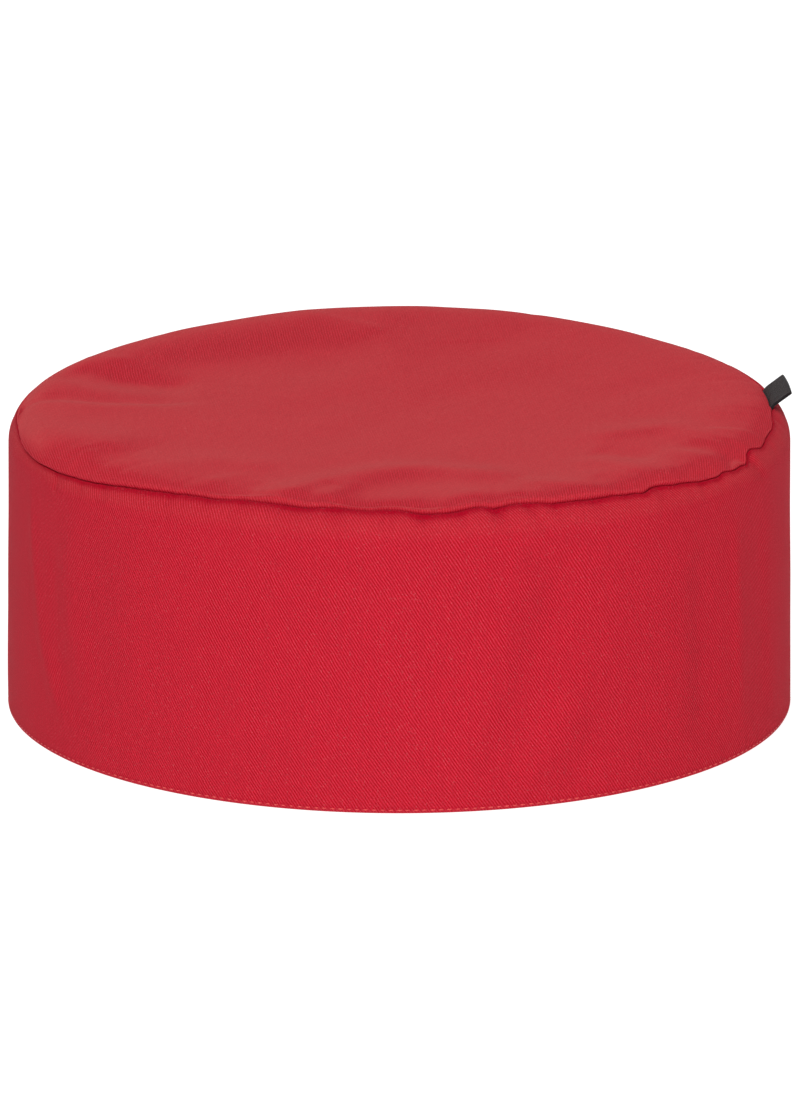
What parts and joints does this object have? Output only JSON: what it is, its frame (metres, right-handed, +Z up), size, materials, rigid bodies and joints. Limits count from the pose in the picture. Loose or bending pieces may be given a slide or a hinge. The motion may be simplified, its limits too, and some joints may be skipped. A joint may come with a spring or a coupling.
{
  "type": "chef hat",
  "caption": "Low round pillbox chef hat in red twill: tall side band folded double at the rim, soft creased flat crown sewn in, small folded ribbon label in the seam.",
  "frame": {"origin": "middle of the rim, on the plane that the rim rests on", "axes": "+Z up through the crown, -Y to the front, +X to the wearer's left, where the label is"},
  "size_m": [0.19, 0.19, 0.0779],
  "materials": {
    "band_twill": "matt red cotton twill with fine diagonal ribs and a faint pale bloom",
    "crown_twill": "the same red twill laid at another angle, softly creased, with a pale bloom at grazing angles",
    "label_ribbon": "charcoal black satin ribbon, fine faint ribs, bare",
    "rim_thread": "lighter orange-red polyester sewing thread, the row of edge stitches round the rim"
  },
  "bodies": {
    "root": {"crown_panel": "crown_twill", "side_band": "band_twill", "label_tab": "label_ribbon"}
  },
  "joints": []
}
